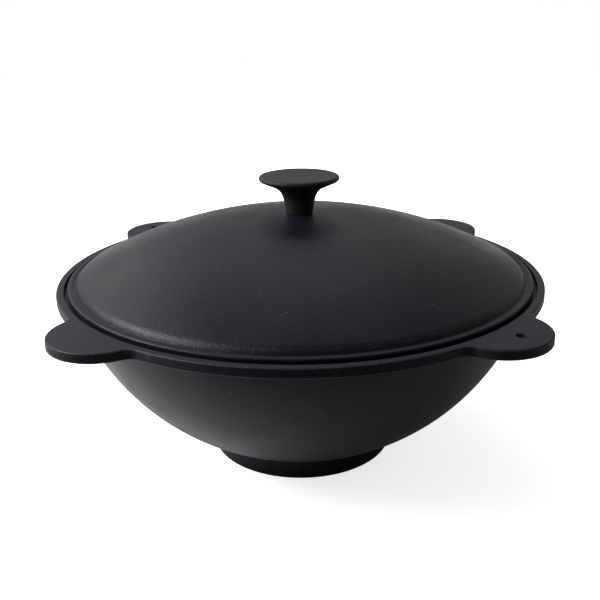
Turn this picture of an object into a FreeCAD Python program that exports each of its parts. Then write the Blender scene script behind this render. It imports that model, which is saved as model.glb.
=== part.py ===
import FreeCAD, Part
import math
import os

# Covered cast iron wok. The pan is one casting: a round bowl on a flat foot, with four ears
# in the plane of its rim, two of them pierced. A domed lid drops into a rebate in the rim.
# Its mushroom knob is a separate casting, held by a screw and washer from inside the lid.
# Sizes are millimetres. The foot stands on z = 0 and the pierced ears lie along X.

# Rim of the pan: a flat plate round the mouth of the bowl
rim_radius = 190.0
rim_height = 147.1
rim_thickness = 7.4
rim_overhang = 11.4
rim_top_rounding = 1.5
rim_bottom_rounding = 1.3
under_rim_fillet = 5.0

# Rebate that takes the lid
land_width = 6.0
rebate_depth = 3.8
ledge_rounding = 1.0

# Bowl and foot
bowl_wall = 4.5
bowl_lift = 0.7
foot_radius = 74.5
foot_edge_rounding = 1.1
foot_root_fillet = 2.5

# Ears
ear_count = 4
pierced_every = 2
ear_radius = 36.5
ear_reach = 30.0
ear_root_fillet = 9.5
ear_hole_diameter = 7.0
ear_hole_from_tip = 19.0
ear_hole_bevel = 0.5

# Lid
lid_side_clearance = 2.6
lid_wall = 4.0
lip_rise = 2.3
lip_width = 3.8
lip_rounding = 1.5
groove_width = 2.2
groove_depth = 0.5
shoulder_height = 2.9
shoulder_draft = 15.0
shoulder_rounding = 4.5
dome_height = 42.9
lid_inner_fillet = 3.0
knob_seat_margin = 0.6
washer_seat_margin = 0.8

# Knob
knob_radius = 31.4
knob_edge_thickness = 4.2
knob_height = 29.4
knob_underside_slope = 24.0
neck_foot_radius = 10.3
neck_taper = 11.0
neck_fillet = 13.0

# Screw and washer inside the lid
screw_diameter = 6.0
screw_grip = 12.0
screw_end_bevel = 0.8
screw_head_diameter = 12.0
screw_head_height = 3.8
screw_head_rounding = 2.0
slot_width = 1.6
slot_depth = 1.8
thread_clearance = 0.05
bore_spare_depth = 3.0
drill_point_angle = 118.0
lid_hole_clearance = 0.3
washer_diameter = 18.0
washer_thickness = 1.6
washer_hole_clearance = 0.2

# Two points closer than this are the same point
same_place = 0.001


def cap_sphere(radius, rise):
    """Radius of the sphere whose cap rises this much over a circle of this radius."""
    return (radius ** 2 + rise ** 2) / (2.0 * rise)


def sphere_drop(sphere, radius):
    """How far above or below its centre a sphere lies at this distance from the axis."""
    return math.sqrt(sphere ** 2 - radius ** 2)


# Heights and radii that follow from the sizes above
rim_underside = rim_height - rim_thickness
ledge_height = rim_height - rebate_depth
rebate_radius = rim_radius - land_width
bowl_top_radius = rim_radius - rim_overhang
bowl_sphere = cap_sphere(bowl_top_radius, rim_underside - bowl_lift)
bowl_centre = bowl_lift + bowl_sphere
inner_bowl = bowl_sphere - bowl_wall
ear_centre = rim_radius + ear_reach - ear_radius
ear_tip = rim_radius + ear_reach
ear_hole_place = ear_tip - ear_hole_from_tip

lid_radius = rebate_radius - lid_side_clearance
lip_top = rim_height + lip_rise
groove_floor = lip_top - groove_depth
groove_radius = lid_radius - lip_width
shoulder_foot = groove_radius - groove_width
shoulder_top = groove_floor + shoulder_height
shoulder_radius = shoulder_foot - shoulder_height * math.tan(math.radians(shoulder_draft))
dome_sphere = cap_sphere(shoulder_radius, dome_height)
dome_centre = shoulder_top + dome_height - dome_sphere
dome_apex = dome_centre + dome_sphere
inner_dome = dome_sphere - lid_wall
inner_skirt = shoulder_foot - lid_wall

knob_seat_radius = neck_foot_radius + knob_seat_margin
knob_seat = dome_centre + sphere_drop(dome_sphere, knob_seat_radius)
washer_seat = dome_centre + inner_dome
washer_underside = washer_seat - washer_thickness
screw_end = knob_seat + screw_grip


def at(radius, height):
    """A point of a turned profile."""
    return FreeCAD.Vector(radius, 0.0, height)


def in_plan(radius, angle):
    """A point of the rim's outline, at the level of its underside."""
    return FreeCAD.Vector(radius * math.cos(angle), radius * math.sin(angle), rim_underside)


def arc(start, middle, end):
    return Part.Arc(start, middle, end).toShape()


def lines(*points):
    """Straight edges from each point to the next."""
    return [Part.LineSegment(start, end).toShape() for start, end in zip(points, points[1:])]


def sphere_arc(sphere, centre, start, end, side):
    """Arc of a sphere between two distances from the axis, above (+1) or below (-1) its centre."""
    places = [start, (start + end) / 2.0, end]
    return arc(*[at(place, centre + side * sphere_drop(sphere, place)) for place in places])


def meets(edge, point):
    return min(end.Point.distanceToPoint(point) for end in edge.Vertexes) < same_place


def softened(outline, corner, size, facing=FreeCAD.Vector(0, -1, 0)):
    """The closed outline with one of its corners rounded by a tangent arc."""
    if meets(outline[0], corner) and meets(outline[-1], corner):
        outline = outline[-1:] + outline[:-1]
    first = [meets(edge, corner) for edge in outline].index(True)
    blend = Part.ChFi2d.FilletAlgo(outline[first], outline[first + 1], Part.Plane(corner, facing))
    blend.perform(size)
    curve, before, after = blend.result(corner)
    return outline[:first] + [before, curve, after] + outline[first + 2:]


def turned(outline):
    """The solid that a closed half profile sweeps round the upright axis."""
    profile = Part.Face(Part.Wire(outline))
    return profile.revolve(FreeCAD.Vector(0, 0, 0), FreeCAD.Vector(0, 0, 1), 360.0)


def cylinder(radius, bottom, top):
    return Part.makeCylinder(radius, top - bottom, at(0.0, bottom))


def level_edges(solid, height):
    """Every edge that lies flat at this height."""
    found = []
    for edge in solid.Edges:
        box = edge.BoundBox
        if max(abs(box.ZMin - height), abs(box.ZMax - height)) < same_place:
            found.append(edge)
    return found


def round_the_axis(solid, count):
    """Copies of a solid spaced evenly about the axis."""
    copies = []
    for turn in range(count):
        copy = solid.copy()
        copy.rotate(FreeCAD.Vector(0, 0, 0), FreeCAD.Vector(0, 0, 1), 360.0 * turn / count)
        copies.append(copy)
    return copies


def rim_plate():
    """The rim and its ears, flush above and below, with their edges rounded."""
    pitch = 2.0 * math.pi / ear_count
    reach = (rim_radius ** 2 + ear_centre ** 2 - ear_radius ** 2) / (2.0 * rim_radius * ear_centre)
    half_root = math.acos(reach)
    outline = []
    corners = []
    for turn in range(ear_count):
        middle = turn * pitch
        before, after = in_plan(rim_radius, middle - half_root), in_plan(rim_radius, middle + half_root)
        next_ear = in_plan(rim_radius, middle + pitch - half_root)
        outline.append(arc(before, in_plan(ear_tip, middle), after))
        outline.append(arc(after, in_plan(rim_radius, middle + pitch / 2.0), next_ear))
        corners += [before, after]
    for corner in corners:
        outline = softened(outline, corner, ear_root_fillet, FreeCAD.Vector(0, 0, 1))
    plate = Part.Face(Part.Wire(outline)).extrude(at(0.0, rim_thickness))
    plate = plate.makeFillet(rim_top_rounding, level_edges(plate, rim_height))
    return plate.makeFillet(rim_bottom_rounding, level_edges(plate, rim_underside))


def bowl_and_foot():
    """The outside of the bowl and its flat foot as one solid that ends inside the rim plate."""
    foot_corner = at(foot_radius, 0.0)
    foot_top = at(foot_radius, bowl_centre - sphere_drop(bowl_sphere, foot_radius))
    mouth = at(bowl_top_radius, rim_underside)
    under_rim = at((bowl_top_radius + rim_radius) / 2.0, rim_underside)
    outline = lines(at(0.0, 0.0), foot_corner, foot_top)
    outline.append(sphere_arc(bowl_sphere, bowl_centre, foot_radius, bowl_top_radius, -1))
    outline += lines(mouth, under_rim, at(under_rim.x, ledge_height), at(0.0, ledge_height), at(0.0, 0.0))
    outline = softened(outline, foot_corner, foot_edge_rounding)
    outline = softened(outline, foot_top, foot_root_fillet)
    return turned(softened(outline, mouth, under_rim_fillet))


def pan_inside():
    """What is hollow in the pan: the bowl's inside, and above it the rebate for the lid."""
    ledge_radius = sphere_drop(inner_bowl, bowl_centre - ledge_height)
    ledge = at(ledge_radius, ledge_height)
    clear_above = rim_height + rebate_depth
    outline = [sphere_arc(inner_bowl, bowl_centre, 0.0, ledge_radius, -1)]
    outline += lines(ledge, at(rebate_radius, ledge_height), at(rebate_radius, clear_above))
    outline += lines(at(rebate_radius, clear_above), at(0.0, clear_above), at(0.0, bowl_centre - inner_bowl))
    return turned(softened(outline, ledge, ledge_rounding))


def ear_drill():
    """The hole of a pierced ear, with its edges broken above and below."""
    radius = ear_hole_diameter / 2.0
    wide = radius + ear_hole_bevel
    lower = [at(0.0, rim_underside), at(wide, rim_underside), at(radius, rim_underside + ear_hole_bevel)]
    upper = [at(radius, rim_height - ear_hole_bevel), at(wide, rim_height), at(0.0, rim_height)]
    drill = turned(lines(*lower, *upper, lower[0]))
    drill.translate(at(ear_hole_place, 0.0))
    return drill


def wok_pan():
    """The pan's casting, with its rebate turned and two of its ears drilled."""
    pan = rim_plate().fuse(bowl_and_foot()).removeSplitter()
    pan = pan.cut(pan_inside())
    for drill in round_the_axis(ear_drill(), ear_count // pierced_every):
        pan = pan.cut(drill)
    return pan


def lid_outside():
    """The lid's outer form as a solid: dome, shoulder, groove, lip and flange."""
    shoulder = at(shoulder_radius, shoulder_top)
    lip = at(lid_radius, lip_top)
    outline = [sphere_arc(dome_sphere, dome_centre, 0.0, shoulder_radius, 1)]
    outline += lines(shoulder, at(shoulder_foot, groove_floor), at(groove_radius, groove_floor))
    outline += lines(at(groove_radius, groove_floor), at(groove_radius, lip_top), lip)
    outline += lines(lip, at(lid_radius, ledge_height), at(0.0, ledge_height), at(0.0, dome_apex))
    outline = softened(outline, shoulder, shoulder_rounding)
    return turned(softened(outline, lip, lip_rounding))


def lid_inside():
    """What is hollow under the lid: an even wall below the dome, then an upright skirt."""
    skirt_top = at(inner_skirt, dome_centre + sphere_drop(inner_dome, inner_skirt))
    outline = [sphere_arc(inner_dome, dome_centre, 0.0, inner_skirt, 1)]
    outline += lines(skirt_top, at(inner_skirt, ledge_height), at(0.0, ledge_height), at(0.0, washer_seat))
    return turned(softened(outline, skirt_top, lid_inner_fillet))


def lid():
    """The lid, with a flat seat above for the knob and one inside for the washer."""
    washer_seat_radius = washer_diameter / 2.0 + washer_seat_margin
    hole_radius = screw_diameter / 2.0 + lid_hole_clearance
    casting = lid_outside().cut(lid_inside())
    casting = casting.cut(cylinder(knob_seat_radius, knob_seat, dome_apex))
    casting = casting.cut(cylinder(washer_seat_radius, ledge_height, washer_seat))
    return casting.cut(cylinder(hole_radius, ledge_height, dome_apex))


def screw_bore():
    """The blind tapped hole in the knob, with the cone that its drill leaves."""
    radius = screw_diameter / 2.0 + thread_clearance
    depth = screw_end + bore_spare_depth
    tip = depth + radius / math.tan(math.radians(drill_point_angle / 2.0))
    mouth = at(0.0, knob_seat)
    return turned(lines(mouth, at(radius, knob_seat), at(radius, depth), at(0.0, tip), mouth))


def lid_knob():
    """Mushroom knob: a bull-nosed disc on a neck that flares up into its sloping underside."""
    nose = knob_edge_thickness / 2.0
    nose_centre = knob_radius - nose
    top = knob_seat + knob_height
    slope = math.radians(knob_underside_slope)
    taper = math.tan(math.radians(neck_taper))
    nose_end = at(nose_centre + nose * math.sin(slope), top - nose - nose * math.cos(slope))
    level = nose_end.z - knob_seat - (nose_end.x - neck_foot_radius) * math.tan(slope)
    neck_rise = level / (1.0 - taper * math.tan(slope))
    neck_top = at(neck_foot_radius + neck_rise * taper, knob_seat + neck_rise)
    outline = [arc(at(nose_centre, top), at(knob_radius, top - nose), nose_end)]
    outline += lines(nose_end, neck_top, at(neck_foot_radius, knob_seat), at(0.0, knob_seat))
    outline += lines(at(0.0, knob_seat), at(0.0, top), at(nose_centre, top))
    knob = turned(softened(outline, neck_top, neck_fillet))
    return knob.cut(screw_bore())


def knob_screw():
    """Slotted pan-head screw that clamps the knob from inside the lid."""
    radius = screw_diameter / 2.0
    head_radius = screw_head_diameter / 2.0
    head_bottom = washer_underside - screw_head_height
    rim = at(head_radius, head_bottom)
    neck = at(radius, washer_underside)
    bevel = at(radius - screw_end_bevel, screw_end)
    outline = lines(at(0.0, head_bottom), rim, at(head_radius, washer_underside), neck)
    outline += lines(neck, at(radius, screw_end - screw_end_bevel), bevel, at(0.0, screw_end))
    outline += lines(at(0.0, screw_end), at(0.0, head_bottom))
    screw = turned(softened(outline, rim, screw_head_rounding))
    slot_corner = FreeCAD.Vector(-head_radius, -slot_width / 2.0, head_bottom)
    return screw.cut(Part.makeBox(screw_head_diameter, slot_width, slot_depth, slot_corner))


def knob_washer():
    outer = washer_diameter / 2.0
    inner = screw_diameter / 2.0 + washer_hole_clearance
    washer = cylinder(outer, washer_underside, washer_seat)
    return washer.cut(cylinder(inner, washer_underside, washer_seat))


os.makedirs("parts", exist_ok=True)
wok_pan().exportStep("parts/wok_pan.step")
lid().exportStep("parts/lid.step")
lid_knob().exportStep("parts/lid_knob.step")
knob_screw().exportStep("parts/knob_screw.step")
knob_washer().exportStep("parts/knob_washer.step")
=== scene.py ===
import math

import bpy
from mathutils import Matrix, Vector


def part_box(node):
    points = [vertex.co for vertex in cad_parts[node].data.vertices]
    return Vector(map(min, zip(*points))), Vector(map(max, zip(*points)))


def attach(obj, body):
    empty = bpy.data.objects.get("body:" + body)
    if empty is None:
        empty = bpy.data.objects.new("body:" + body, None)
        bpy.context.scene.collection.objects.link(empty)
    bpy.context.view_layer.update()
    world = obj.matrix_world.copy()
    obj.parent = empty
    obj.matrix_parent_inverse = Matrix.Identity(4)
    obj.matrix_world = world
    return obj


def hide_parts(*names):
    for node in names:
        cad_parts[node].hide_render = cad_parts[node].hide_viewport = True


# A covered cast iron wok. The CAD solids give every place and size. The castings are turned
# here again as fine smooth skins, which carry where they are worn, ground and machined.

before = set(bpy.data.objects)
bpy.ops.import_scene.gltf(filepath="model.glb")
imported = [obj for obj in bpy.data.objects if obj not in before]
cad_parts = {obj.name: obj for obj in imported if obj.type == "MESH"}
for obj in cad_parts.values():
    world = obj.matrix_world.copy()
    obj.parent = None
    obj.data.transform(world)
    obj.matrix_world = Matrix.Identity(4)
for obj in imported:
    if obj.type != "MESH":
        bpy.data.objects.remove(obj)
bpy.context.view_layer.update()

mm = 0.001

# Camera of the photograph. The studio's own directions are right, away from the camera, and up
camera_azimuth = math.radians(45.5)
camera_distance = 619.93 * mm
camera_height = 344.81 * mm
camera_pitch = 0.34599
camera_yaw = 0.0007
camera_roll = -0.01248
camera_lens = 48.41
sensor_width = 36.0
studio = Matrix.Rotation(camera_azimuth, 4, "Z")
lights_aim = Vector((0.0, 0.0, 0.14))

# Pan, as its solid is
pan_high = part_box("wok_pan")[1]
rim_height = pan_high.z
ear_tip = pan_high.x
rim_radius = 190.0 * mm
rim_thickness = 7.4 * mm
rim_overhang = 11.4 * mm
rim_top_rounding = 1.5 * mm
rim_bottom_rounding = 1.3 * mm
under_rim_fillet = 5.0 * mm
land_width = 6.0 * mm
ledge_rounding = 1.0 * mm
bowl_wall = 4.5 * mm
bowl_lift = 0.7 * mm
foot_radius = 74.5 * mm
foot_edge_rounding = 1.1 * mm
foot_root_fillet = 2.5 * mm
foot_share_machined = 0.98
ear_count = 4
ear_radius = 36.5 * mm
ear_root_fillet = 9.5 * mm
ear_hole_radius = 3.5 * mm
ear_hole_from_tip = 19.0 * mm
ear_hole_bevel = 0.5 * mm

# Lid, as its solid is
lid_low, lid_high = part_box("lid")
ledge_height = lid_low.z
lid_radius = lid_high.x
lid_wall = 4.0 * mm
lip_rise = 2.3 * mm
lip_width = 3.8 * mm
lip_rounding = 1.5 * mm
groove_width = 2.2 * mm
groove_depth = 0.5 * mm
shoulder_height = 2.9 * mm
shoulder_draft = math.radians(15.0)
shoulder_roll = 12.0 * mm
dome_height = 42.9 * mm
lid_inner_fillet = 3.0 * mm
lid_hole_radius = 3.3 * mm
washer_seat_radius = 9.8 * mm

# Knob, as its solid is
knob_low, knob_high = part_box("lid_knob")
knob_seat = knob_low.z
knob_top = knob_high.z
knob_radius = 31.4 * mm
knob_edge_thickness = 4.2 * mm
knob_slope = math.radians(24.0)
knob_taper = math.tan(math.radians(11.0))
neck_foot_radius = 10.3 * mm
neck_fillet = 13.0 * mm
bore_radius = 3.05 * mm
bore_depth = 15.0 * mm
drill_point = math.radians(59.0)

# Screw, as its solid is, with the thread that the solid leaves out
screw_low, screw_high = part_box("knob_screw")
washer_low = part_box("knob_washer")[0]
screw_head_radius = 6.0 * mm
screw_head_rounding = 2.0 * mm
screw_end_bevel = 0.8 * mm
slot_width = 1.6 * mm
slot_depth = 1.8 * mm
thread_crest = 2.97 * mm
thread_core = 2.45 * mm
thread_pitch = 1.0 * mm

# Small breaks of corners that the solids leave sharp, and how far the grinding stays off the roundings
edge_break = 0.35 * mm
band_margin = 0.7 * mm

# How far sand and grinding leave the iron short of its solid, and how long the marks are on each axis
pan_unevenness = 0.12 * mm
lid_unevenness = 0.12 * mm
knob_unevenness = 0.04 * mm
grinding_loss = 0.3 * mm
grinding_stretch = (1.0, 1.0, 0.3)

# How finely the skins are divided
sphere_step = 6.0 * mm
rounding_steps = 5
longest_support = 0.4 * mm
round_columns = 512
screw_columns = 64
hole_columns = 48
side_steps = 36
ear_steps = 56
ear_fillet_steps = 12
thread_steps = 24
ridge_corners = 4
seam_gap = 0.01 * mm
crisp_edge = math.radians(35.0)

# What each point of a profile keeps: how it is finished, and whether it follows the ears
FINISHES = ("worn", "ground", "machined")
KEPT = FINISHES + ("ears",)


def cap_sphere(radius, rise):
    """Radius of the sphere whose cap rises this much over a circle of this radius."""
    return (radius ** 2 + rise ** 2) / (2 * rise)


def sphere_drop(sphere, radius):
    """How far above or below its centre a sphere lies at this distance from the axis."""
    return math.sqrt(sphere ** 2 - radius ** 2)


class HalfProfile:
    """The half outline that a casting is turned from, drawn from corner to corner.

    A corner keeps how worn, ground and machined it is, and whether it follows the ears."""

    def __init__(self):
        self.corners = []

    def corner(self, radius, height, rounding=0.0, **kept):
        self.corners.append((Vector((radius, height)), rounding, kept))

    def sphere(self, size, centre, start, end, side):
        """An arc of a sphere between two radii, above (+1) or below (-1) its centre, without its ends."""
        first, last = (math.asin(radius / size) for radius in (start, end))
        count = max(2, round(abs(last - first) * size / sphere_step))
        for i in range(1, count):
            angle = first + (last - first) * i / count
            self.corner(size * math.sin(angle), centre + side * size * math.cos(angle))

    def roll(self, centre, size, start, end, worn):
        """A broad arc between two angles from straight up, without its end, most worn half way."""
        count = 4 * rounding_steps
        for i in range(count):
            angle = start + (end - start) * i / count
            place = centre + size * Vector((math.sin(angle), math.cos(angle)))
            self.corner(place.x, place.y, worn=worn * math.sin(math.pi * i / count))

    def rounded(self, i):
        """The points of one rounded corner, with a point either side that holds its faces flat."""
        place, rounding, kept = self.corners[i]
        back = (self.corners[i - 1][0] - place).normalized()
        ahead = (self.corners[i + 1][0] - place).normalized()
        reach = rounding / math.tan(back.angle(ahead) / 2)
        centre = place + (back + ahead).normalized() * math.hypot(rounding, reach)
        start, end = place + back * reach, place + ahead * reach
        support = min(rounding / 2, longest_support)
        arm = start - centre
        sweep = arm.angle_signed(end - centre)
        edge = {**kept, "worn": 0.0}
        made = [(start + back * support, edge)]
        for step in range(rounding_steps + 1):
            share = step / rounding_steps
            spot = centre + Matrix.Rotation(-sweep * share, 2) @ arm
            made.append((spot, {**kept, "worn": kept.get("worn", 0.0) * math.sin(math.pi * share)}))
        made.append((end + ahead * support, edge))
        return made

    def points(self):
        """Every point of the outline, in the order whose faces point out of the iron."""
        runs = []
        for i, (place, rounding, kept) in enumerate(self.corners):
            runs.append(self.rounded(i) if rounding else [(place, kept)])
        made = []
        for i, run in enumerate(runs):
            near = [other for other in runs[max(0, i - 2):i + 3] if len(other) > 1 and other is not run]
            if len(run) == 1 and any(self.swallowed(run[0][0], other) for other in near):
                continue
            made += run
        places = [place for place, _ in made]
        lean = sum(place.cross(following) for place, following in zip(places, places[1:] + places[:1]))
        return made if lean > 0 else made[::-1]

    @staticmethod
    def swallowed(place, run):
        """Whether a plain point lies within a rounding's own reach."""
        first, last = run[0][0], run[-1][0]
        middle = (first + last) / 2
        return (place - middle).length < (last - first).length / 2

    def chain(self, name):
        """The outline as a chain of edges that carries what each point keeps."""
        points = self.points()
        mesh = bpy.data.meshes.new(name)
        places = [(place.x, 0.0, place.y) for place, _ in points]
        mesh.from_pydata(places, [(i, i + 1) for i in range(len(points) - 1)], [])
        for kind in KEPT:
            values = mesh.attributes.new(kind, "FLOAT", "POINT")
            values.data.foreach_set("value", [kept.get(kind, 0.0) for _, kept in points])
        return place_in_scene(name, mesh)


def place_in_scene(name, data):
    made = bpy.data.objects.new(name, data)
    bpy.context.scene.collection.objects.link(made)
    return made


# Building trees of nodes


def add(tree, kind, inputs=None, **settings):
    """A node with its settings, and its inputs given as values or as other nodes' outputs."""
    made = tree.nodes.new(kind)
    for name, value in settings.items():
        setattr(made, name, value)
    for socket, value in (inputs or {}).items():
        if isinstance(value, bpy.types.NodeSocket):
            tree.links.new(value, made.inputs[socket])
        else:
            made.inputs[socket].default_value = value
    return made


class Maths:
    """Short ways to set arithmetic and noise nodes in a tree."""

    def __init__(self, tree):
        self.tree = tree

    def reckoned(self, kind, operation, inputs, result=0):
        return add(self.tree, kind, inputs, operation=operation).outputs[result]

    def number(self, operation, *values):
        return self.reckoned("ShaderNodeMath", operation, dict(enumerate(values)))

    def whole(self, operation, *values):
        return self.reckoned("FunctionNodeIntegerMath", operation, dict(enumerate(values)))

    def vector(self, operation, *values):
        return self.reckoned("ShaderNodeVectorMath", operation, dict(enumerate(values)))

    def measure(self, operation, *vectors):
        """A number worked out from vectors."""
        return self.reckoned("ShaderNodeVectorMath", operation, dict(enumerate(vectors)), "Value")

    def scaled(self, vector, size):
        return self.reckoned("ShaderNodeVectorMath", "SCALE", {0: vector, "Scale": size})

    def per(self, size):
        """A texture's scale for features of this size."""
        return self.number("DIVIDE", 1.0, size)

    def spread(self, value, low, high, to_low=0.0, to_high=1.0):
        """A value's range from low to high brought to another range, and kept within it."""
        inputs = {"Value": value, "From Min": low, "From Max": high, "To Min": to_low, "To Max": to_high}
        return add(self.tree, "ShaderNodeMapRange", inputs, interpolation_type="SMOOTHSTEP").outputs[0]

    def mixed(self, share, first, second):
        return add(self.tree, "ShaderNodeMix", {"Factor": share, 2: first, 3: second}).outputs[0]

    def mixed_colour(self, share, first, second):
        inputs = {"Factor": share, 6: first, 7: second}
        return add(self.tree, "ShaderNodeMix", inputs, data_type="RGBA").outputs[2]

    def noise(self, place, scale, detail, roughness=0.5):
        inputs = {"Vector": place, "Scale": scale, "Detail": detail, "Roughness": roughness}
        return add(self.tree, "ShaderNodeTexNoise", inputs).outputs[0]

    def noise_along(self, line, detail, roughness=0.5):
        """Noise that changes along one line only."""
        inputs = {"W": line, "Scale": 1.0, "Detail": detail, "Roughness": roughness}
        return add(self.tree, "ShaderNodeTexNoise", inputs, noise_dimensions="1D").outputs[0]


def titled(values):
    """Values by their sockets' names, from values by the words of a call."""
    return {name.replace("_", " ").title(): value for name, value in values.items()}


def open_tree(name, kind, inputs, outputs):
    """A node group with named inputs and outputs. An input is given by its value or its socket's kind."""
    tree = bpy.data.node_groups.new(name, kind)
    kinds = {int: "NodeSocketInt", float: "NodeSocketFloat"}
    for socket, value in inputs.items():
        made = tree.interface.new_socket(socket, in_out="INPUT", socket_type=kinds.get(type(value), value))
        if type(value) in kinds:
            made.default_value = value
    for socket, socket_kind in outputs.items():
        tree.interface.new_socket(socket, in_out="OUTPUT", socket_type=socket_kind)
    return tree, tree.nodes.new("NodeGroupInput").outputs, tree.nodes.new("NodeGroupOutput").inputs


# Plan of the rim


def arc_samples(centre, size, start, end, count, hollow=False):
    """Points of an arc in plan without its last, each with the direction that faces out of the iron."""
    made = []
    for i in range(count):
        angle = start + (end - start) * i / count
        out = Vector((math.cos(angle), math.sin(angle), 0.0))
        made.append((centre + size * out, -out if hollow else out))
    return made


def plan_chain(name, points):
    """A plan's points, each with its outward direction."""
    mesh = bpy.data.meshes.new(name)
    mesh.from_pydata([place for place, _ in points], [], [])
    outward = mesh.attributes.new("outward", "FLOAT_VECTOR", "POINT")
    outward.data.foreach_set("vector", [value for _, out in points for value in out])
    return place_in_scene(name, mesh)


def round_plan(count):
    return plan_chain("round_plan", arc_samples(Vector((0, 0, 0)), rim_radius, 0.0, 2 * math.pi, count))


def rim_plan():
    """The rim's outer line seen from above, with its ears and the fillets at their roots."""
    ear_centre = Vector((ear_tip - ear_radius, 0.0, 0.0))
    far, near = rim_radius + ear_root_fillet, ear_radius + ear_root_fillet
    root = math.acos((far ** 2 + ear_centre.x ** 2 - near ** 2) / (2 * far * ear_centre.x))
    after = far * Vector((math.cos(root), math.sin(root), 0.0))
    before = Vector((after.x, -after.y, 0.0))
    side = math.atan2(after.y, after.x - ear_centre.x)
    half_pitch = math.pi / ear_count
    axis = Vector((0.0, 0.0, 0.0))
    into, out_of = (math.pi - root, math.pi - side), (math.pi + side, math.pi + root)
    line = arc_samples(axis, rim_radius, -half_pitch, -root, side_steps)
    line += arc_samples(before, ear_root_fillet, *into, ear_fillet_steps, hollow=True)
    line += arc_samples(ear_centre, ear_radius, -side, side, ear_steps)
    line += arc_samples(after, ear_root_fillet, *out_of, ear_fillet_steps, hollow=True)
    line += arc_samples(axis, rim_radius, root, half_pitch, side_steps)
    points = []
    for ear in range(ear_count):
        turn = Matrix.Rotation(2 * half_pitch * ear, 4, "Z")
        points += [(turn @ place, turn @ out) for place, out in line]
    return plan_chain("rim_plan", points)


# Turning


def turning_tree():
    """Turns a half profile round the axis. Its points that follow the ears run along the plan."""
    tree, given, result = open_tree("Turned casting", "GeometryNodeTree", {
        "Profile": "NodeSocketGeometry", "Plan": "NodeSocketObject", "Rim Radius": rim_radius,
        "Unevenness": 0.0, "Unevenness Spacing": 35.0 * mm, "Grinding Loss": 0.0,
        "Grinding Spacing": 4.0 * mm, "Seed": 0, "Material": "NodeSocketMaterial"},
        {"Casting": "NodeSocketGeometry"})
    maths = Maths(tree)

    def count_of(geometry):
        return add(tree, "GeometryNodeAttributeDomainSize", {"Geometry": geometry}).outputs["Point Count"]

    def named(attribute, kind="FLOAT"):
        return add(tree, "GeometryNodeInputNamedAttribute", {"Name": attribute}, data_type=kind).outputs[0]

    def sampled(source, field, place, kind="FLOAT"):
        inputs = {"Geometry": source, "Value": field, "Index": place}
        return add(tree, "GeometryNodeSampleIndex", inputs, data_type=kind).outputs[0]

    def seeded_noise(place, spacing):
        shift = maths.scaled((1.0, 1.0, 1.0), given["Seed"])
        return maths.noise(maths.vector("ADD", place, shift), maths.per(spacing), 2.0)

    def stored(geometry, name, value, kind="FLOAT", domain="POINT"):
        inputs = {"Geometry": geometry, "Name": name, "Value": value}
        made = add(tree, "GeometryNodeStoreNamedAttribute", inputs, data_type=kind, domain=domain)
        return made.outputs[0]

    plan = add(tree, "GeometryNodeObjectInfo", {"Object": given["Plan"]}).outputs["Geometry"]
    plan_count, profile_count = count_of(plan), count_of(given["Profile"])
    sides = {"Vertices X": maths.whole("ADD", plan_count, 1), "Vertices Y": profile_count}
    grid = add(tree, "GeometryNodeMeshGrid", sides).outputs["Mesh"]
    index = add(tree, "GeometryNodeInputIndex").outputs[0]
    column = maths.whole("DIVIDE_FLOOR", index, profile_count)
    row = maths.whole("MODULO", index, profile_count)
    around = maths.whole("MODULO", column, plan_count)

    position = add(tree, "GeometryNodeInputPosition").outputs[0]
    profile_place = sampled(given["Profile"], position, row, "FLOAT_VECTOR")
    radius, _, height = add(tree, "ShaderNodeSeparateXYZ", {0: profile_place}).outputs
    kept = {kind: sampled(given["Profile"], named(kind), row) for kind in KEPT}
    plan_place = sampled(plan, position, around, "FLOAT_VECTOR")
    outward = sampled(plan, named("outward", "FLOAT_VECTOR"), around, "FLOAT_VECTOR")

    up = add(tree, "ShaderNodeCombineXYZ", {"Z": height}).outputs[0]
    level = maths.vector("ADD", plan_place, up)
    facing = maths.vector("NORMALIZE", plan_place)
    turned_place = maths.vector("ADD", maths.scaled(facing, radius), up)
    marks = seeded_noise(maths.vector("MULTIPLY", level, grinding_stretch), given["Grinding Spacing"])
    loss = maths.number("MULTIPLY", marks, given["Grinding Loss"])
    reach = maths.number("SUBTRACT", maths.number("SUBTRACT", radius, given["Rim Radius"]), loss)
    ear_place = maths.vector("ADD", level, maths.scaled(outward, reach))
    ends = {"Factor": kept["ears"], 4: turned_place, 5: ear_place}
    place = add(tree, "ShaderNodeMix", ends, data_type="VECTOR").outputs[1]
    mesh = add(tree, "GeometryNodeSetPosition", {"Geometry": grid, "Position": place}).outputs[0]

    for kind in FINISHES:
        mesh = stored(mesh, kind, kept[kind])
    mesh = stored(mesh, "along", maths.number("DIVIDE", column, plan_count))
    mesh = stored(mesh, "across", maths.number("DIVIDE", row, profile_count))
    flat = add(tree, "ShaderNodeCombineXYZ", {"X": named("along"), "Y": named("across")}).outputs[0]
    mesh = stored(mesh, "UVMap", flat, "FLOAT2", "CORNER")
    seams = {"Geometry": mesh, "Distance": seam_gap}
    mesh = add(tree, "GeometryNodeMergeByDistance", seams).outputs[0]

    # The wave lies between -1 and 0, so that the iron only falls short of its solid
    wave = maths.number("SUBTRACT", seeded_noise(position, given["Unevenness Spacing"]), 1.0)
    as_cast = maths.number("SUBTRACT", 1.0, named("machined"))
    depth = maths.number("MULTIPLY", wave, maths.number("MULTIPLY", given["Unevenness"], as_cast))
    normal = add(tree, "GeometryNodeInputNormal").outputs[0]
    moved = {"Geometry": mesh, "Offset": maths.scaled(normal, depth)}
    mesh = add(tree, "GeometryNodeSetPosition", moved).outputs[0]
    mesh = add(tree, "GeometryNodeSetShadeSmooth", {"Geometry": mesh}).outputs[0]
    tree.links.new(finished(tree, mesh, given["Material"]), result["Casting"])
    return tree


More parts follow.
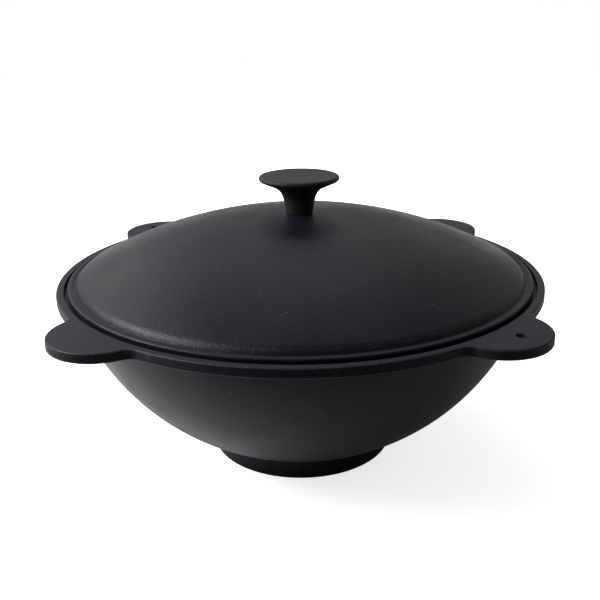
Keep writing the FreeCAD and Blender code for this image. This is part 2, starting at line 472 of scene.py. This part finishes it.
def finished(tree, geometry, material):
    """A tree's last steps, which leave plain faces in their own finish."""
    real = add(tree, "GeometryNodeRealizeInstances", {"Geometry": geometry}).outputs[0]
    return add(tree, "GeometryNodeSetMaterial", {"Geometry": real, "Material": material}).outputs[0]


def thread_tree():
    """Winds a thread's ridge round a shank and joins it to the screw."""
    tree, given, result = open_tree("Wound thread", "GeometryNodeTree", {
        "Screw": "NodeSocketGeometry", "Core Radius": thread_core, "Crest Radius": thread_crest,
        "Pitch": thread_pitch, "Start Height": 0.0, "Length": 10.0 * mm, "Material": "NodeSocketMaterial"},
        {"Screw": "NodeSocketGeometry"})
    maths = Maths(tree)
    turns = maths.number("DIVIDE", given["Length"], given["Pitch"])
    spiral = add(tree, "GeometryNodeCurveSpiral", {
        "Resolution": thread_steps, "Rotations": turns, "Start Radius": given["Core Radius"],
        "End Radius": given["Core Radius"], "Height": given["Length"]}).outputs[0]
    ridge = maths.number("SUBTRACT", given["Crest Radius"], given["Core Radius"])
    corners = {"Resolution": ridge_corners, "Radius": ridge}
    section = add(tree, "GeometryNodeCurvePrimitiveCircle", corners).outputs[0]
    sweep = {"Curve": spiral, "Profile Curve": section, "Fill Caps": True}
    wound = add(tree, "GeometryNodeCurveToMesh", sweep).outputs[0]
    start = add(tree, "ShaderNodeCombineXYZ", {"Z": given["Start Height"]}).outputs[0]
    raised = add(tree, "GeometryNodeTransform", {"Geometry": wound, "Translation": start}).outputs[0]
    joined = add(tree, "GeometryNodeJoinGeometry")
    for part in (given["Screw"], raised):
        tree.links.new(part, joined.inputs[0])
    tree.links.new(finished(tree, joined.outputs[0], given["Material"]), result["Screw"])
    return tree


def settled(made):
    """The piece with its modifiers worked into a plain mesh."""
    mesh = bpy.data.meshes.new_from_object(made.evaluated_get(bpy.context.evaluated_depsgraph_get()))
    made.modifiers.clear()
    made.data = mesh
    return made


def worked(made, tree, **values):
    """The piece passed through a tree, with the tree's inputs set by name."""
    maker = made.modifiers.new(tree.name, "NODES")
    maker.node_group = tree
    given = titled(values)
    for socket in tree.interface.items_tree:
        if socket.in_out == "INPUT" and socket.name in given:
            maker[socket.identifier] = given[socket.name]
    return settled(made)


def turned(name, profile, plan, finish, **values):
    """A piece turned from a profile round a plan."""
    return worked(profile.chain(name), turning, plan=plan, material=finish, **values)


def cut(made, tool):
    """The piece with the tool's shape cut out of it, its new edges crisp."""
    cutting = made.modifiers.new("cut", "BOOLEAN")
    cutting.object = tool
    cutting.solver = "EXACT"
    settled(made)
    made.data.set_sharp_from_angle(angle=crisp_edge)
    bpy.data.objects.remove(tool)
    return made


# Profiles


def pan_profile():
    underside = rim_height - rim_thickness
    mouth = rim_radius - rim_overhang
    sphere = cap_sphere(mouth, underside - bowl_lift)
    centre = bowl_lift + sphere
    inner = sphere - bowl_wall
    rebate = rim_radius - land_width
    ledge = sphere_drop(inner, centre - ledge_height)
    machined_to = foot_share_machined * foot_radius
    outline = HalfProfile()
    outline.corner(0.0, centre - inner)
    outline.sphere(inner, centre, 0.0, ledge, -1)
    outline.corner(ledge, ledge_height, ledge_rounding, worn=0.3)
    outline.corner(rebate, ledge_height, edge_break, machined=1.0)
    outline.corner(rebate, rim_height, edge_break, worn=0.2)
    outline.corner(rim_radius, rim_height, rim_top_rounding, worn=0.45, ears=1.0)
    outline.corner(rim_radius, rim_height - rim_top_rounding - band_margin, ground=1.0, ears=1.0)
    outline.corner(rim_radius, underside + rim_bottom_rounding + band_margin, ground=1.0, ears=1.0)
    outline.corner(rim_radius, underside, rim_bottom_rounding, worn=0.3, ears=1.0)
    outline.corner(mouth, underside, under_rim_fillet)
    outline.sphere(sphere, centre, mouth, foot_radius, -1)
    outline.corner(foot_radius, centre - sphere_drop(sphere, foot_radius), foot_root_fillet)
    outline.corner(foot_radius, 0.0, foot_edge_rounding, worn=0.5, machined=0.5)
    outline.corner(machined_to, 0.0, machined=1.0)
    outline.corner(0.0, 0.0, machined=1.0)
    return outline


def lid_profile():
    groove_radius = lid_radius - lip_width
    foot = groove_radius - groove_width
    lip_top = rim_height + lip_rise
    floor = lip_top - groove_depth
    top = floor + shoulder_height
    shoulder = foot - shoulder_height * math.tan(shoulder_draft)
    dome = cap_sphere(shoulder, dome_height)
    centre = top + dome_height - dome
    from_dome = Vector((foot, floor - centre))
    within = dome - shoulder_roll
    lean = (from_dome.length ** 2 + within ** 2 - shoulder_roll ** 2) / (2 * within * from_dome.length)
    start = math.atan2(from_dome.x, from_dome.y) - math.acos(lean)
    roll_centre = Vector((within * math.sin(start), centre + within * math.cos(start)))
    end = math.atan2(foot - roll_centre.x, floor - roll_centre.y)
    inner = dome - lid_wall
    skirt = foot - lid_wall
    seat = sphere_drop(dome, knob_seat - centre)
    outline = HalfProfile()
    outline.corner(lid_hole_radius, knob_seat, machined=1.0)
    outline.corner(seat, knob_seat)
    outline.sphere(dome, centre, seat, dome * math.sin(start), 1)
    outline.roll(roll_centre, shoulder_roll, start, end, worn=0.35)
    outline.corner(foot, floor, edge_break)
    outline.corner(groove_radius, floor, edge_break / 2)
    outline.corner(groove_radius, lip_top, edge_break / 2, worn=0.1)
    outline.corner(lid_radius, lip_top, lip_rounding, worn=0.2)
    outline.corner(lid_radius, ledge_height, edge_break, machined=1.0)
    outline.corner(skirt, ledge_height, edge_break, machined=1.0)
    outline.corner(skirt, centre + sphere_drop(inner, skirt), lid_inner_fillet)
    outline.sphere(inner, centre, skirt, washer_seat_radius, 1)
    outline.corner(washer_seat_radius, centre + sphere_drop(inner, washer_seat_radius))
    outline.corner(washer_seat_radius, centre + inner, machined=1.0)
    outline.corner(lid_hole_radius, centre + inner, machined=1.0)
    outline.corner(lid_hole_radius, knob_seat, machined=1.0)
    return outline


def knob_profile():
    nose = knob_edge_thickness / 2
    nose_centre = Vector((knob_radius - nose, knob_top - nose))
    slope = math.tan(knob_slope)
    end = nose_centre + nose * Vector((math.sin(knob_slope), -math.cos(knob_slope)))
    level = end.y - knob_seat - (end.x - neck_foot_radius) * slope
    rise = level / (1 - knob_taper * slope)
    drill_end = knob_seat + bore_depth + bore_radius / math.tan(drill_point)
    outline = HalfProfile()
    outline.corner(0.0, knob_top)
    # Two points between the axis and the rounded edge keep the top flat
    for flat in (0.5 * knob_radius, 0.9 * nose_centre.x):
        outline.corner(flat, knob_top)
    outline.roll(nose_centre, nose, 0.0, math.pi - knob_slope, worn=0.2)
    outline.corner(end.x, end.y)
    outline.corner(neck_foot_radius + rise * knob_taper, knob_seat + rise, neck_fillet)
    outline.corner(neck_foot_radius, knob_seat, edge_break)
    outline.corner(bore_radius, knob_seat, machined=1.0)
    outline.corner(bore_radius, knob_seat + bore_depth, machined=1.0)
    outline.corner(0.0, drill_end, machined=1.0)
    return outline


def screw_profile():
    outline = HalfProfile()
    outline.corner(0.0, screw_low.z, machined=1.0)
    outline.corner(screw_head_radius, screw_low.z, screw_head_rounding, machined=1.0)
    outline.corner(screw_head_radius, washer_low.z, machined=1.0)
    outline.corner(thread_core, washer_low.z, machined=1.0)
    outline.corner(thread_core, screw_high.z, screw_end_bevel, machined=1.0)
    outline.corner(0.0, screw_high.z, machined=1.0)
    return outline


def drill_profile():
    """A drill as long as the rim is thick, flared where it breaks the hole's edges."""
    underside = rim_height - rim_thickness
    wide = ear_hole_radius + ear_hole_bevel
    outline = HalfProfile()
    outline.corner(0.0, underside - ear_hole_bevel)
    outline.corner(wide + ear_hole_bevel, underside - ear_hole_bevel)
    outline.corner(wide - ear_hole_bevel / 2, underside + ear_hole_bevel / 2, worn=1.0)
    outline.corner(ear_hole_radius, underside + ear_hole_bevel)
    outline.corner(ear_hole_radius, rim_height - ear_hole_bevel)
    outline.corner(wide - ear_hole_bevel / 2, rim_height - ear_hole_bevel / 2, worn=1.0)
    outline.corner(wide + ear_hole_bevel, rim_height + ear_hole_bevel)
    outline.corner(0.0, rim_height + ear_hole_bevel)
    return outline


# Finishes, as effects that the materials share

# The stretch of values that noise mostly keeps to
noise_low = 0.3
noise_high = 0.7


def object_place(tree):
    return add(tree, "ShaderNodeTexCoord").outputs["Object"]


def cast_grain_group():
    """The pebbled skin that sand leaves on iron, with its raised nibs and its slow clouding."""
    tree, given, result = open_tree("Cast grain", "ShaderNodeTree", {
        "Grain Size": 1.5 * mm, "Nib Spacing": 9.0 * mm, "Cloud Size": 40.0 * mm}, {
        "Height": "NodeSocketFloat", "Tone": "NodeSocketFloat", "Nibs": "NodeSocketFloat",
        "Clouds": "NodeSocketFloat"})
    maths = Maths(tree)
    place = object_place(tree)
    sand_share = 0.55
    sand_roughness = 0.65
    pebble_smoothness = 0.6
    cells_without_nib = 0.72
    nib_width, nib_core, nib_height = 0.10, 0.03, 0.8

    grains = {"Vector": place, "Scale": maths.per(given["Grain Size"]), "Smoothness": pebble_smoothness}
    pebbles = add(tree, "ShaderNodeTexVoronoi", grains, feature="SMOOTH_F1").outputs["Distance"]
    sand = maths.noise(place, maths.per(given["Grain Size"]), 4.0, sand_roughness)
    clouds = maths.noise(place, maths.per(given["Cloud Size"]), 3.0)
    cells = add(tree, "ShaderNodeTexVoronoi", {"Vector": place, "Scale": maths.per(given["Nib Spacing"])})
    lot = add(tree, "ShaderNodeSeparateColor", {0: cells.outputs["Color"]}).outputs[0]
    chosen = maths.number("GREATER_THAN", lot, cells_without_nib)
    nibs = maths.number("MULTIPLY", maths.spread(cells.outputs["Distance"], nib_width, nib_core), chosen)
    skin = maths.mixed(sand_share, maths.number("SUBTRACT", 1.0, pebbles), sand)
    height = maths.number("ADD", skin, maths.number("MULTIPLY", nibs, nib_height))
    tree.links.new(height, result["Height"])
    tree.links.new(maths.spread(sand, noise_low, noise_high), result["Tone"])
    tree.links.new(nibs, result["Nibs"])
    tree.links.new(maths.spread(clouds, noise_low, noise_high), result["Clouds"])
    return tree


def grinding_group():
    """Strokes of a grinding wheel across the rim's band, set out along the rim by the piece's own map."""
    tree, given, result = open_tree("Grinding strokes", "ShaderNodeTree", {
        "Strokes": 520.0, "Breakup": 0.35}, {"Height": "NodeSocketFloat", "Strength": "NodeSocketFloat"})
    maths = Maths(tree)
    lean_scale, lean_size = 60.0, 1.5
    patch_scale, patch_full = 22.0, 0.62
    stroke_start, stroke_full = 0.5, 0.72

    rim_map = add(tree, "ShaderNodeTexCoord").outputs["UV"]
    along = add(tree, "ShaderNodeSeparateXYZ", {0: rim_map}).outputs["X"]
    place = object_place(tree)
    lean = maths.number("MULTIPLY", maths.noise(place, lean_scale, 1.0), lean_size)
    line = maths.number("ADD", maths.number("MULTIPLY", along, given["Strokes"]), lean)
    strokes = maths.noise_along(line, 3.0, 0.7)
    patches = maths.spread(maths.noise(place, patch_scale, 1.0), given["Breakup"], patch_full)
    strength = maths.number("MULTIPLY", maths.spread(strokes, stroke_start, stroke_full), patches)
    tree.links.new(strokes, result["Height"])
    tree.links.new(strength, result["Strength"])
    return tree


def worn_edge_group():
    """Where an edge is rubbed through to brighter iron: the piece's own wear, broken up."""
    tree, given, result = open_tree("Worn edge", "ShaderNodeTree", {
        "Worn": 0.0, "Breakup Size": 1.6 * mm, "Breakup": 0.6}, {"Bare": "NodeSocketFloat"})
    maths = Maths(tree)
    fully_bare = 0.55
    rough = maths.noise(object_place(tree), maths.per(given["Breakup Size"]), 3.0, 0.65)
    left = maths.number("SUBTRACT", given["Worn"], maths.number("MULTIPLY", rough, given["Breakup"]))
    tree.links.new(maths.spread(left, 0.0, fully_bare), result["Bare"])
    return tree


def turning_ring_group():
    """Fine rings that a turning tool leaves round the axis."""
    tree, given, result = open_tree("Turning rings", "ShaderNodeTree", {
        "Ring Spacing": 0.5 * mm}, {"Height": "NodeSocketFloat"})
    maths = Maths(tree)
    radius = maths.measure("LENGTH", maths.vector("MULTIPLY", object_place(tree), (1.0, 1.0, 0.0)))
    line = maths.number("DIVIDE", radius, given["Ring Spacing"])
    tree.links.new(maths.noise_along(line, 2.0), result["Height"])
    return tree


def grouped(tree, group, **values):
    """One of the shared effects placed in a material, with its inputs set by name."""
    return add(tree, "ShaderNodeGroup", titled(values), node_tree=group).outputs


def new_material(name):
    material = bpy.data.materials.new(name)
    material.use_nodes = True
    return material, material.node_tree, material.node_tree.nodes["Principled BSDF"]


def kept_value(tree, name):
    return add(tree, "ShaderNodeAttribute", attribute_name=name).outputs["Fac"]


def opaque(colour):
    return (*colour, 1.0)


def give_relief(tree, surface, reliefs):
    """Raises the surface by heights, each with its depth in metres and the mask of where it lies."""
    maths = Maths(tree)
    total = 0.0
    for height, depth, where in reliefs:
        raised = maths.number("MULTIPLY", maths.number("MULTIPLY", height, depth), where)
        total = maths.number("ADD", total, raised)
    bump = add(tree, "ShaderNodeBump", {"Height": total, "Distance": 1.0, "Strength": 1.0})
    tree.links.new(bump.outputs[0], surface.inputs["Normal"])


# Iron and steel
gloss = 0.13
cloudiness = 0.5
# Colour, metal and roughness of bare iron where edges are rubbed and scratched, also used for the painted
# glint on the nibs
bare_and_glint_iron = (0.09, 0.09, 0.092)
bare_and_glint_metal = 0.7
bare_and_glint_roughness = 0.42
# How far the tops of the nibs are painted toward bare iron: a painted glint, over their real relief
painted_nib_glint = 0.5
ground_iron = (0.0058, 0.0050, 0.0084)
ground_cover = 0.75
ground_roughness = 0.72
ground_dullness = 0.6
scratch_brightness = 0.15
smoother = 0.05
rougher = 0.06
stroke_relief = 0.10 * mm
ring_relief = 0.04 * mm
dark_steel = (0.30, 0.29, 0.28)
bright_steel = (0.52, 0.52, 0.51)
steel_roughness = (0.28, 0.45)
ring_low = 0.2
ring_high = 0.8
oily_metal = 0.85

# Paper, and how much brighter it looks to the camera than it shines on the wok
paper_dark = (0.95, 0.95, 0.95)
paper_light = (0.97, 0.97, 0.97)
paper_lift = 0.75
paper_roughness = 0.9
paper_gloss = 0.1


def seasoned_iron(name, black, grey, rough, grain_size, grain_relief, nib_spacing=9.0 * mm):
    """Black seasoned casting, ground on its rim, machined on its seats and bare where it is rubbed, with a
    painted glint on the tops of its nibs.
    """
    material, tree, surface = new_material(name)
    maths = Maths(tree)
    grain = grouped(tree, cast_grain, grain_size=grain_size, nib_spacing=nib_spacing)
    strokes = grouped(tree, grinding)
    rings = grouped(tree, turning_rings)
    bare = grouped(tree, worn_edge, worn=kept_value(tree, "worn"))["Bare"]
    ground, machined = kept_value(tree, "ground"), kept_value(tree, "machined")

    tone = maths.mixed(cloudiness, grain["Tone"], grain["Clouds"])
    colour = maths.mixed_colour(tone, opaque(black), opaque(grey))
    covered = maths.number("MULTIPLY", ground, ground_cover)
    colour = maths.mixed_colour(covered, colour, opaque(ground_iron))
    scratched = maths.number("MULTIPLY", strokes["Strength"], ground)
    scratched = maths.number("MULTIPLY", scratched, scratch_brightness)
    # Painted glint: the tops of the nibs are painted bright; the rubbed edges and the grinding scratches
    # are real
    nibs = maths.number("MULTIPLY", grain["Nibs"], painted_nib_glint)
    bare_scratched_and_glinting = maths.number("MAXIMUM", maths.number("MAXIMUM", bare, nibs), scratched)
    tree.links.new(maths.mixed_colour(bare_scratched_and_glinting, colour, opaque(bare_and_glint_iron)), surface.inputs["Base Color"])
    tree.links.new(maths.number("MULTIPLY", bare_scratched_and_glinting, bare_and_glint_metal), surface.inputs["Metallic"])
    dull = maths.spread(tone, 0.0, 1.0, rough - smoother, rough + rougher)
    dull = maths.mixed(maths.number("MULTIPLY", ground, ground_dullness), dull, ground_roughness)
    tree.links.new(maths.mixed(bare_scratched_and_glinting, dull, bare_and_glint_roughness), surface.inputs["Roughness"])
    surface.inputs["Specular IOR Level"].default_value = gloss

    rough_skin = maths.number("SUBTRACT", 1.0, maths.number("MAXIMUM", ground, machined))
    reliefs = [(grain["Height"], grain_relief, rough_skin), (strokes["Height"], stroke_relief, ground)]
    reliefs.append((rings["Height"], ring_relief, machined))
    give_relief(tree, surface, reliefs)
    return material


def turned_steel(name):
    """Plain steel screw and washer, turned, with thin dark oil in patches."""
    material, tree, surface = new_material(name)
    maths = Maths(tree)
    rings = grouped(tree, turning_rings, ring_spacing=0.25 * mm)["Height"]
    oil = grouped(tree, cast_grain, grain_size=0.8 * mm, cloud_size=6.0 * mm)["Clouds"]
    colour = maths.mixed_colour(oil, opaque(dark_steel), opaque(bright_steel))
    tree.links.new(colour, surface.inputs["Base Color"])
    tree.links.new(maths.spread(rings, ring_low, ring_high, *steel_roughness), surface.inputs["Roughness"])
    tree.links.new(maths.spread(oil, 0.0, 1.0, oily_metal, 1.0), surface.inputs["Metallic"])
    give_relief(tree, surface, [(rings, ring_relief / 2, 1.0)])
    return material


def pale_paper():
    """Matt paper, with light shadows."""
    material, tree, surface = new_material("pale_paper")
    maths = Maths(tree)
    fibres = grouped(tree, cast_grain, grain_size=3.0 * mm, cloud_size=0.4)["Clouds"]
    colour = maths.mixed_colour(fibres, opaque(paper_dark), opaque(paper_light))
    tree.links.new(colour, surface.inputs["Base Color"])
    surface.inputs["Roughness"].default_value = paper_roughness
    surface.inputs["Specular IOR Level"].default_value = paper_gloss
    surface.inputs["Emission Color"].default_value = (1.0, 1.0, 1.0, 1.0)
    seen = add(tree, "ShaderNodeLightPath").outputs["Is Camera Ray"]
    tree.links.new(maths.number("MULTIPLY", seen, paper_lift), surface.inputs["Emission Strength"])
    return material


cast_grain = cast_grain_group()
grinding = grinding_group()
worn_edge = worn_edge_group()
turning_rings = turning_ring_group()
pan_iron = seasoned_iron(
    "pan_iron_black", black=(0.0052, 0.0048, 0.0100), grey=(0.0094, 0.0088, 0.0155), rough=0.45,
    grain_size=1.2 * mm, grain_relief=0.22 * mm)
lid_iron = seasoned_iron(
    "lid_iron_black", black=(0.0030, 0.0028, 0.0062), grey=(0.0075, 0.0071, 0.0118), rough=0.40,
    grain_size=1.25 * mm, grain_relief=0.30 * mm)
knob_iron = seasoned_iron(
    "knob_iron_black", black=(0.0110, 0.0110, 0.0100), grey=(0.0155, 0.0155, 0.0142), rough=0.5,
    grain_size=1.1 * mm, grain_relief=0.08 * mm, nib_spacing=14.0 * mm)
steel = turned_steel("turned_steel")


# Making the pieces


def make_pan():
    plan = rim_plan()
    uneven = {"unevenness": pan_unevenness, "grinding_loss": grinding_loss, "seed": 3}
    pan = turned("pan_casting", pan_profile(), plan, pan_iron, **uneven)
    bpy.data.objects.remove(plan)
    hole = ear_tip - ear_hole_from_tip
    for side in (hole, -hole):
        plan = round_plan(hole_columns)
        drill = turned("ear_drill", drill_profile(), plan, pan_iron)
        bpy.data.objects.remove(plan)
        drill.data.transform(Matrix.Translation((side, 0.0, 0.0)))
        pan = cut(pan, drill)
    return pan


def slot_tool():
    """A bar that cuts the slot across the screw's head, and stands as far out of it."""
    half_length, half_width = 2 * screw_head_radius, slot_width / 2
    corners = []
    for height in (screw_low.z - slot_depth, screw_low.z + slot_depth):
        for x, y in ((-1, -1), (1, -1), (1, 1), (-1, 1)):
            corners.append((x * half_length, y * half_width, height))
    sides = [(3, 2, 1, 0), (4, 5, 6, 7), (0, 1, 5, 4), (1, 2, 6, 5), (2, 3, 7, 6), (3, 0, 4, 7)]
    tool = bpy.data.meshes.new("slot_tool")
    tool.from_pydata(corners, [], sides)
    return place_in_scene("slot_tool", tool)


def make_screw(plan):
    screw = cut(turned("screw_threaded", screw_profile(), plan, steel), slot_tool())
    start = washer_low.z + thread_pitch
    length = screw_high.z - start - 2 * thread_pitch
    return worked(screw, winding, material=steel, start_height=start, length=length)


turning = turning_tree()
winding = thread_tree()
circle = round_plan(round_columns)
small_circle = round_plan(screw_columns)
pan = make_pan()
lid = turned("lid_casting", lid_profile(), circle, lid_iron, unevenness=lid_unevenness, seed=11)
knob = turned("knob_casting", knob_profile(), circle, knob_iron, unevenness=knob_unevenness, seed=7)
screw = make_screw(small_circle)
pieces = {
    "wok_pan": (pan, "pan_iron"),
    "lid": (lid, "lid_iron"),
    "lid_knob": (knob, "knob_iron"),
    "knob_screw": (screw, "screw_steel"),
}
for node, (made, slot) in pieces.items():
    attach(made, "root")
    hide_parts(node)
for plan in (circle, small_circle):
    bpy.data.objects.remove(plan)
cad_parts["knob_washer"].data.materials[0] = steel


# Studio


def set_camera():
    data = bpy.data.cameras.new("photo_camera")
    data.sensor_width = sensor_width
    data.lens = camera_lens
    data.clip_start = 10 * mm
    camera = place_in_scene("photo_camera", data)
    place = Matrix.Translation((0.0, -camera_distance, camera_height))
    turn = Matrix.Rotation(camera_yaw, 4, "Z") @ Matrix.Rotation(math.pi / 2 - camera_pitch, 4, "X")
    camera.matrix_world = studio @ place @ turn @ Matrix.Rotation(camera_roll, 4, "Z")
    bpy.context.scene.camera = camera


def softbox(name, place, size, power, aim=lights_aim, spread=math.pi):
    """A square soft light at a place to the right, away from the camera and up, facing where it aims."""
    data = bpy.data.lights.new(name, "AREA")
    data.size = size
    data.energy = power
    data.spread = spread
    light = place_in_scene(name, data)
    spot = studio @ Vector(place)
    facing = (studio @ Vector(aim) - spot).to_track_quat("-Z", "Y").to_matrix().to_4x4()
    light.matrix_world = Matrix.Translation(spot) @ facing


def lay_floor(half_width, front, back, drop):
    """A sheet of pale paper under the wok, from its edge towards the camera to its far edge."""
    mesh = bpy.data.meshes.new("floor")
    corners = [(-half_width, -front), (half_width, -front), (half_width, back), (-half_width, back)]
    mesh.from_pydata([studio @ Vector((x, y, -drop)) for x, y in corners], [], [(0, 1, 2, 3)])
    mesh.materials.append(pale_paper())
    place_in_scene("floor", mesh)


def surround(seen, glows):
    """A pale studio: how bright it looks to the camera, and how it glows on the wok from each direction."""
    world = bpy.data.worlds.new("studio")
    world.use_nodes = True
    tree = world.node_tree
    maths = Maths(tree)
    facing = add(tree, "ShaderNodeTexCoord").outputs["Generated"]
    glow = 0.0
    for direction, strength in glows:
        toward = studio.to_3x3() @ Vector(direction)
        lobe = maths.measure("DOT_PRODUCT", facing, toward)
        glow = maths.number("MULTIPLY_ADD", maths.number("MAXIMUM", lobe, 0.0), strength, glow)
    direct = add(tree, "ShaderNodeLightPath").outputs["Is Camera Ray"]
    tree.links.new(maths.mixed(direct, glow, seen), tree.nodes["Background"].inputs["Strength"])
    tree.nodes["Background"].inputs["Color"].default_value = (1.0, 1.0, 1.0, 1.0)
    bpy.context.scene.world = world


bpy.context.scene.view_settings.view_transform = "Standard"
set_camera()
lay_floor(half_width=1.6, front=0.27, back=4.5, drop=0.1 * mm)
left, right, away, up = (-1, 0, 0), (1, 0, 0), (0, 1, 0), (0, 0, 1)
surround(seen=1.0, glows=((away, 0.44), (left, 0.12), (right, 0.17), (up, 0.26)))
softbox("left_softbox", (-1.05, 0.04, 0.9), size=0.4, power=16.5)
softbox("left_front_softbox", (-1.0, -0.4, 0.95), size=0.5, power=11.5)
softbox("left_low_softbox", (-1.1, -0.4, 0.3), size=0.5, power=0.7)
softbox("left_back_softbox", (-1.0, 0.4, 0.95), size=0.6, power=1.5)
softbox("back_left_softbox", (-0.9, 0.9, 0.9), size=0.8, power=2.8)
softbox("top_back_softbox", (0.0, 0.7, 1.3), size=0.9, power=2.4)
over_paper, on_paper = (0.0, 4.2, 1.4), (0.0, 4.2, 0.0)
softbox("floor_softbox", over_paper, size=5.0, power=140.0, aim=on_paper, spread=math.radians(90.0))
